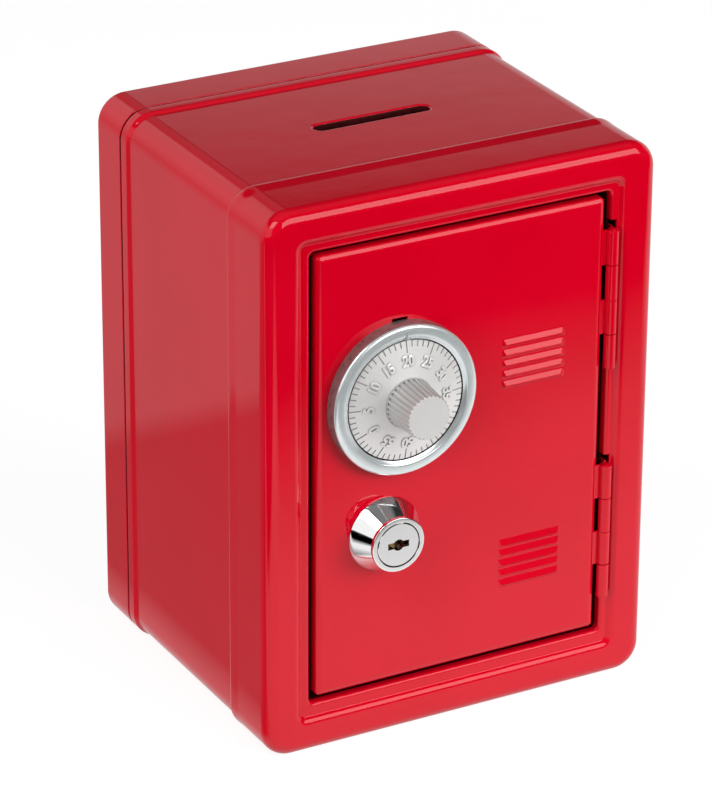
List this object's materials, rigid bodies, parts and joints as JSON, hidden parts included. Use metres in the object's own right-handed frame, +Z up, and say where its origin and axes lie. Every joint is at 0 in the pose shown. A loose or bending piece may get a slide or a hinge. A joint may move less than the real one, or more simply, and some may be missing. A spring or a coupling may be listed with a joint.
{
  "type": "safe coin bank",
  "caption": "Toy safe coin bank in red sheet steel with a coin slot, a hinged door, a combination dial and a key lock.",
  "frame": {"origin": "middle of the whole box's base: the table plane, halfway across the width and halfway between the knob's front and the back panel", "axes": "+Z up, -Y is the front with the door, +X is the hinge side, seen from the front on the right"},
  "size_m": [0.12, 0.117, 0.161],
  "materials": {
    "red_paint": "high-gloss red enamel on sheet steel",
    "zinc": "zinc-plated, satin",
    "satin_dial": "satin die-cast with raised numerals",
    "chrome": "polished chrome plate",
    "steel": "plain turned steel",
    "brass": "stamped brass, unpolished"
  },
  "bodies": {
    "safe_body": {"front_frame": "red_paint", "body_sleeve": "red_paint", "back_shell": "red_paint", "upper_hinge_leaf": "red_paint", "lower_hinge_leaf": "red_paint", "upper_hinge_pin": "steel", "lower_hinge_pin": "steel"},
    "door": {"door_panel": "red_paint", "dial_ring": "zinc", "bridge_plate": "zinc", "bridge_posts": "steel", "bridge_screws": "steel", "fence_stud": "steel", "lock_housing": "chrome", "lock_nut": "zinc"},
    "dial": {"dial_knob": "satin_dial", "dial_spindle": "steel", "drive_wheel": "brass", "wheel_spacers": "steel", "spring_washer": "steel", "spindle_clip": "steel"},
    "wheel_two": {"second_wheel": "brass"},
    "wheel_three": {"third_wheel": "brass"},
    "fence": {"fence_lever": "zinc"},
    "plug": {"lock_plug": "chrome", "lock_wafers": "brass", "lock_cam": "zinc", "cam_screw": "steel"}
  },
  "joints": [
    {"name": "door_hinge", "type": "hinge", "parent": "safe_body", "child": "door", "pos_m": [0.046, -0.0423, 0.08], "axis": [0, 0, 1], "range_deg": [0, 150]},
    {"name": "dial_spin", "type": "hinge", "parent": "door", "child": "dial", "pos_m": [-0.0196, -0.042, 0.1021], "axis": [0, -1, 0], "continuous": true},
    {"name": "second_wheel_turn", "type": "hinge", "parent": "door", "child": "wheel_two", "pos_m": [-0.0196, -0.0375, 0.1021], "axis": [0, -1, 0], "continuous": true},
    {"name": "third_wheel_turn", "type": "hinge", "parent": "door", "child": "wheel_three", "pos_m": [-0.0196, -0.0357, 0.1021], "axis": [0, -1, 0], "continuous": true},
    {"name": "fence_lift", "type": "hinge", "parent": "door", "child": "fence", "pos_m": [-0.0382, -0.0378, 0.1], "axis": [0, -1, 0], "range_deg": [0, 10]},
    {"name": "lock_turn", "type": "hinge", "parent": "door", "child": "plug", "pos_m": [-0.0238, -0.0375, 0.0619], "axis": [0, 1, 0], "range_deg": [0, 90]}
  ],
  "couplings": [
    {"joint": "second_wheel_turn", "follows": "dial_spin", "ratio": 1},
    {"joint": "third_wheel_turn", "follows": "dial_spin", "ratio": 1}
  ]
}
